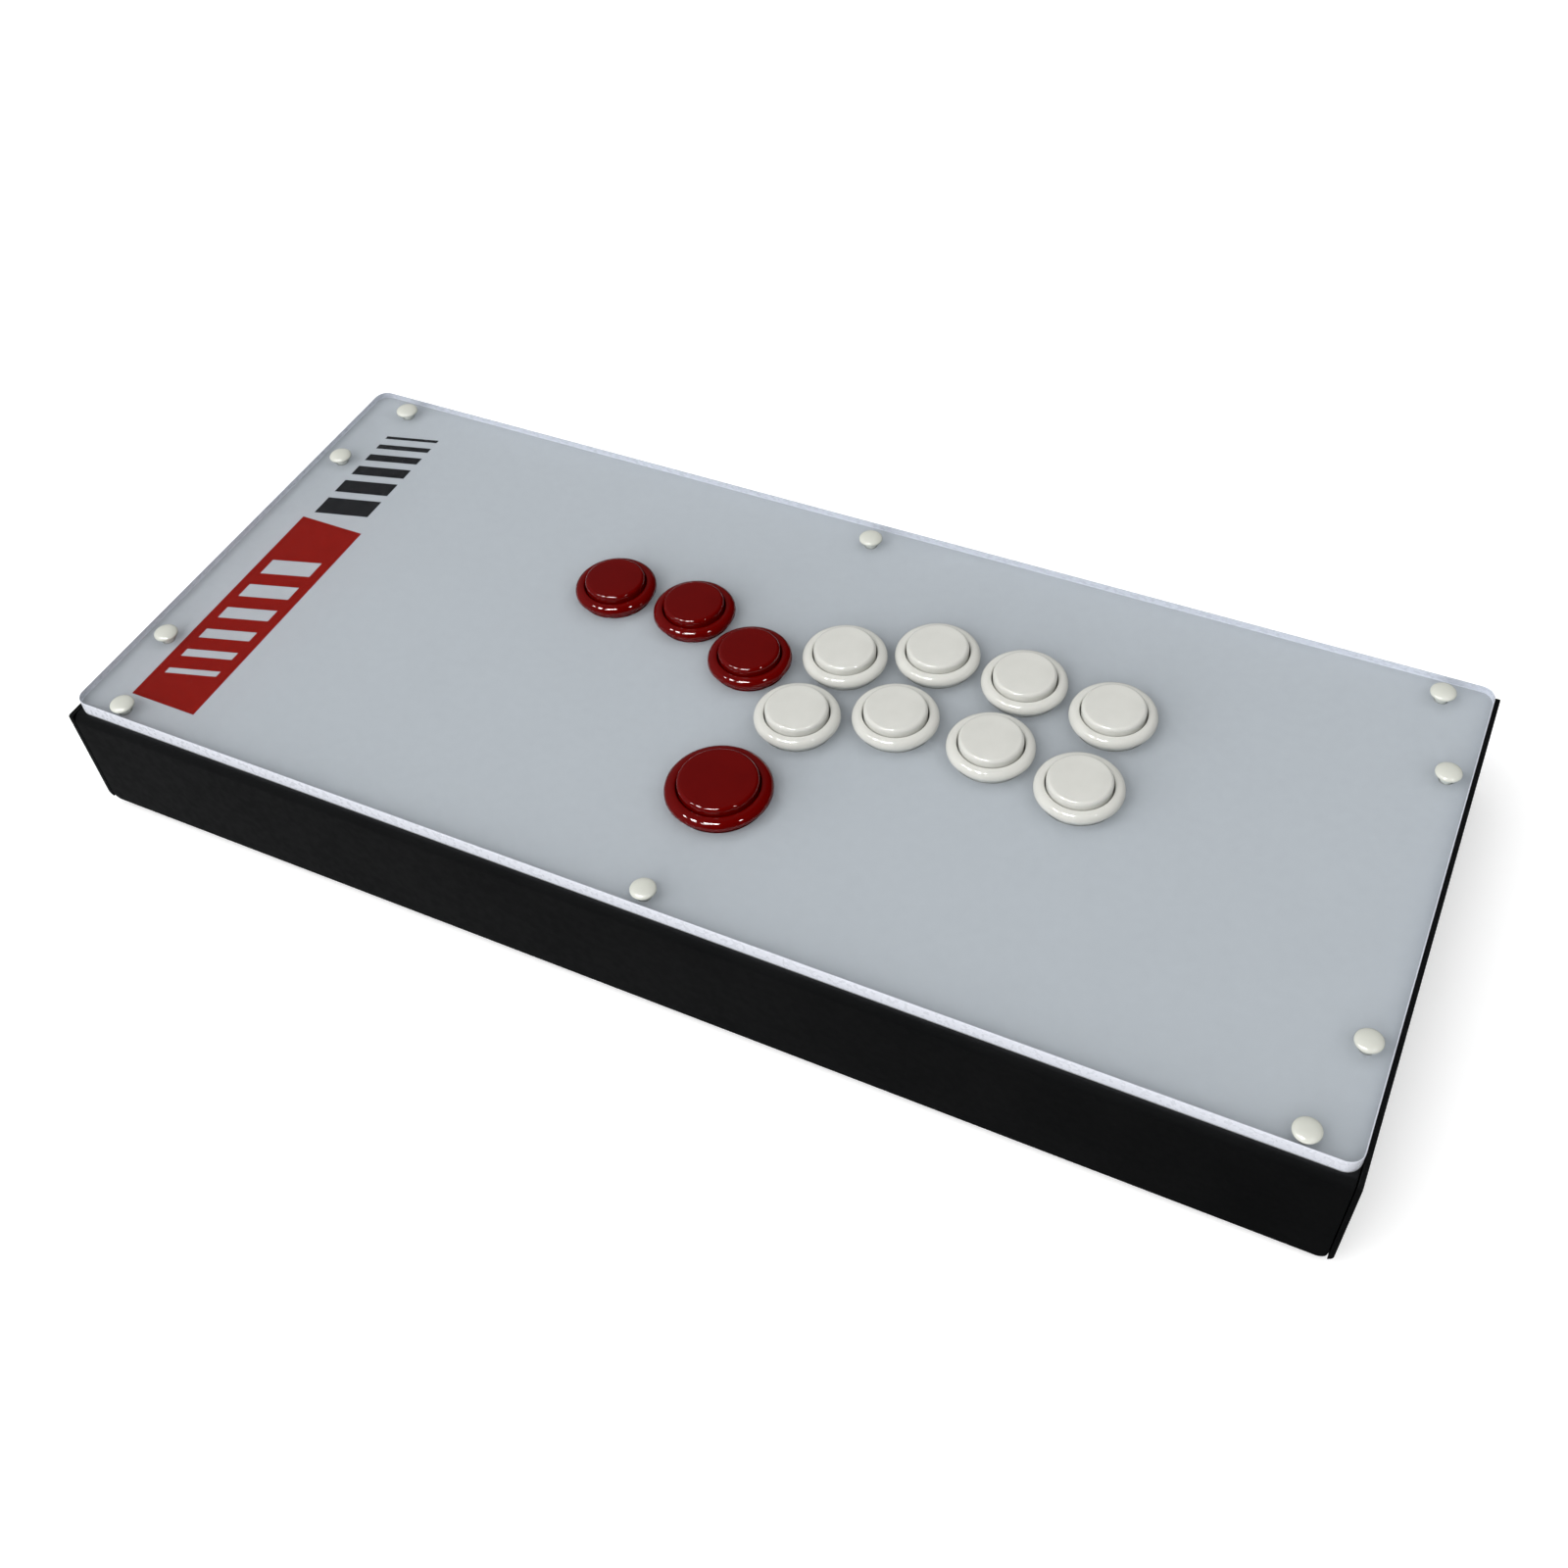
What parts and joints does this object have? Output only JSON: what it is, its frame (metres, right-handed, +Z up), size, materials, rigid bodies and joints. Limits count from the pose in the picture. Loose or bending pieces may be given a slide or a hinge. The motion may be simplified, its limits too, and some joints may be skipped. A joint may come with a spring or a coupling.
{
  "type": "arcade button controller",
  "caption": "Low black steel box with a clear cover over a pale printed sheet, carrying red and white snap-in arcade push buttons; rear function buttons and a cable socket.",
  "frame": {"origin": "on the surface that the feet stand on, under the centre of the bounding box", "axes": "+X to the player's right along the long side, +Y to the rear, +Z up"},
  "size_m": [0.4212, 0.1866, 0.0536],
  "materials": {
    "coated_steel": "satin black powder coat",
    "clear_cover": "clear polished acrylic",
    "printed_sheet": null,
    "red_plastic": "gloss",
    "white_plastic": "gloss",
    "nylon_rivets": "semi-gloss nylon",
    "rubber_feet": "matt",
    "switch_plastic": "matt",
    "circuit_board": "solder mask",
    "socket_plastic": "moulded",
    "function_cap_plastic": "satin"
  },
  "bodies": {
    "case": {"top_shell": "coated_steel", "base_tray": "coated_steel", "art_sheet": "printed_sheet", "acrylic_cover": "clear_cover", "foot_front_left": "rubber_feet", "foot_rear_left": "rubber_feet", "foot_front_right": "rubber_feet", "foot_rear_right": "rubber_feet", "rivet_front_left_corner": "nylon_rivets", "rivet_front_left_side": "nylon_rivets", "rivet_rear_left_corner": "nylon_rivets", "rivet_rear_left_side": "nylon_rivets", "rivet_front_right_corner": "nylon_rivets", "rivet_front_right_side": "nylon_rivets", "rivet_rear_right_corner": "nylon_rivets", "rivet_rear_right_side": "nylon_rivets", "rivet_front_middle": "nylon_rivets", "rivet_rear_middle": "nylon_rivets", "housing_left": "red_plastic", "switch_left": "switch_plastic", "housing_down": "red_plastic", "switch_down": "switch_plastic", "housing_right": "red_plastic", "switch_right": "switch_plastic", "housing_jump": "red_plastic", "switch_jump": "switch_plastic", "housing_upper_1": "white_plastic", "switch_upper_1": "switch_plastic", "housing_upper_2": "white_plastic", "switch_upper_2": "switch_plastic", "housing_upper_3": "white_plastic", "switch_upper_3": "switch_plastic", "housing_upper_4": "white_plastic", "switch_upper_4": "switch_plastic", "housing_lower_1": "white_plastic", "switch_lower_1": "switch_plastic", "housing_lower_2": "white_plastic", "switch_lower_2": "switch_plastic", "housing_lower_3": "white_plastic", "switch_lower_3": "switch_plastic", "housing_lower_4": "white_plastic", "switch_lower_4": "switch_plastic", "control_board": "circuit_board", "usb_socket": "socket_plastic", "function_board": "circuit_board"},
    "button_left": {"plunger_left": "red_plastic"},
    "button_down": {"plunger_down": "red_plastic"},
    "button_right": {"plunger_right": "red_plastic"},
    "button_jump": {"plunger_jump": "red_plastic"},
    "button_upper_1": {"plunger_upper_1": "white_plastic"},
    "button_upper_2": {"plunger_upper_2": "white_plastic"},
    "button_upper_3": {"plunger_upper_3": "white_plastic"},
    "button_upper_4": {"plunger_upper_4": "white_plastic"},
    "button_lower_1": {"plunger_lower_1": "white_plastic"},
    "button_lower_2": {"plunger_lower_2": "white_plastic"},
    "button_lower_3": {"plunger_lower_3": "white_plastic"},
    "button_lower_4": {"plunger_lower_4": "white_plastic"},
    "function_1": {"function_cap_1": "function_cap_plastic"},
    "function_2": {"function_cap_2": "function_cap_plastic"},
    "function_3": {"function_cap_3": "function_cap_plastic"}
  },
  "joints": [
    {"name": "press_left", "type": "slide", "parent": "case", "child": "button_left", "axis": [0, 0, -1], "range_m": [0, 0.0032], "stiffness_N_per_m": 150, "springref_m": -0.0025},
    {"name": "press_down", "type": "slide", "parent": "case", "child": "button_down", "axis": [0, 0, -1], "range_m": [0, 0.0032], "stiffness_N_per_m": 150, "springref_m": -0.0025},
    {"name": "press_right", "type": "slide", "parent": "case", "child": "button_right", "axis": [0, 0, -1], "range_m": [0, 0.0032], "stiffness_N_per_m": 150, "springref_m": -0.0025},
    {"name": "press_jump", "type": "slide", "parent": "case", "child": "button_jump", "axis": [0, 0, -1], "range_m": [0, 0.0035], "stiffness_N_per_m": 150, "springref_m": -0.0025},
    {"name": "press_upper_1", "type": "slide", "parent": "case", "child": "button_upper_1", "axis": [0, 0, -1], "range_m": [0, 0.0032], "stiffness_N_per_m": 150, "springref_m": -0.0025},
    {"name": "press_upper_2", "type": "slide", "parent": "case", "child": "button_upper_2", "axis": [0, 0, -1], "range_m": [0, 0.0032], "stiffness_N_per_m": 150, "springref_m": -0.0025},
    {"name": "press_upper_3", "type": "slide", "parent": "case", "child": "button_upper_3", "axis": [0, 0, -1], "range_m": [0, 0.0032], "stiffness_N_per_m": 150, "springref_m": -0.0025},
    {"name": "press_upper_4", "type": "slide", "parent": "case", "child": "button_upper_4", "axis": [0, 0, -1], "range_m": [0, 0.0032], "stiffness_N_per_m": 150, "springref_m": -0.0025},
    {"name": "press_lower_1", "type": "slide", "parent": "case", "child": "button_lower_1", "axis": [0, 0, -1], "range_m": [0, 0.0032], "stiffness_N_per_m": 150, "springref_m": -0.0025},
    {"name": "press_lower_2", "type": "slide", "parent": "case", "child": "button_lower_2", "axis": [0, 0, -1], "range_m": [0, 0.0032], "stiffness_N_per_m": 150, "springref_m": -0.0025},
    {"name": "press_lower_3", "type": "slide", "parent": "case", "child": "button_lower_3", "axis": [0, 0, -1], "range_m": [0, 0.0032], "stiffness_N_per_m": 150, "springref_m": -0.0025},
    {"name": "press_lower_4", "type": "slide", "parent": "case", "child": "button_lower_4", "axis": [0, 0, -1], "range_m": [0, 0.0032], "stiffness_N_per_m": 150, "springref_m": -0.0025},
    {"name": "press_function_1", "type": "slide", "parent": "case", "child": "function_1", "axis": [0, -1, 0], "range_m": [0, 0.0006], "stiffness_N_per_m": 900, "springref_m": -0.0008},
    {"name": "press_function_2", "type": "slide", "parent": "case", "child": "function_2", "axis": [0, -1, 0], "range_m": [0, 0.0006], "stiffness_N_per_m": 900, "springref_m": -0.0008},
    {"name": "press_function_3", "type": "slide", "parent": "case", "child": "function_3", "axis": [0, -1, 0], "range_m": [0, 0.0006], "stiffness_N_per_m": 900, "springref_m": -0.0008}
  ]
}
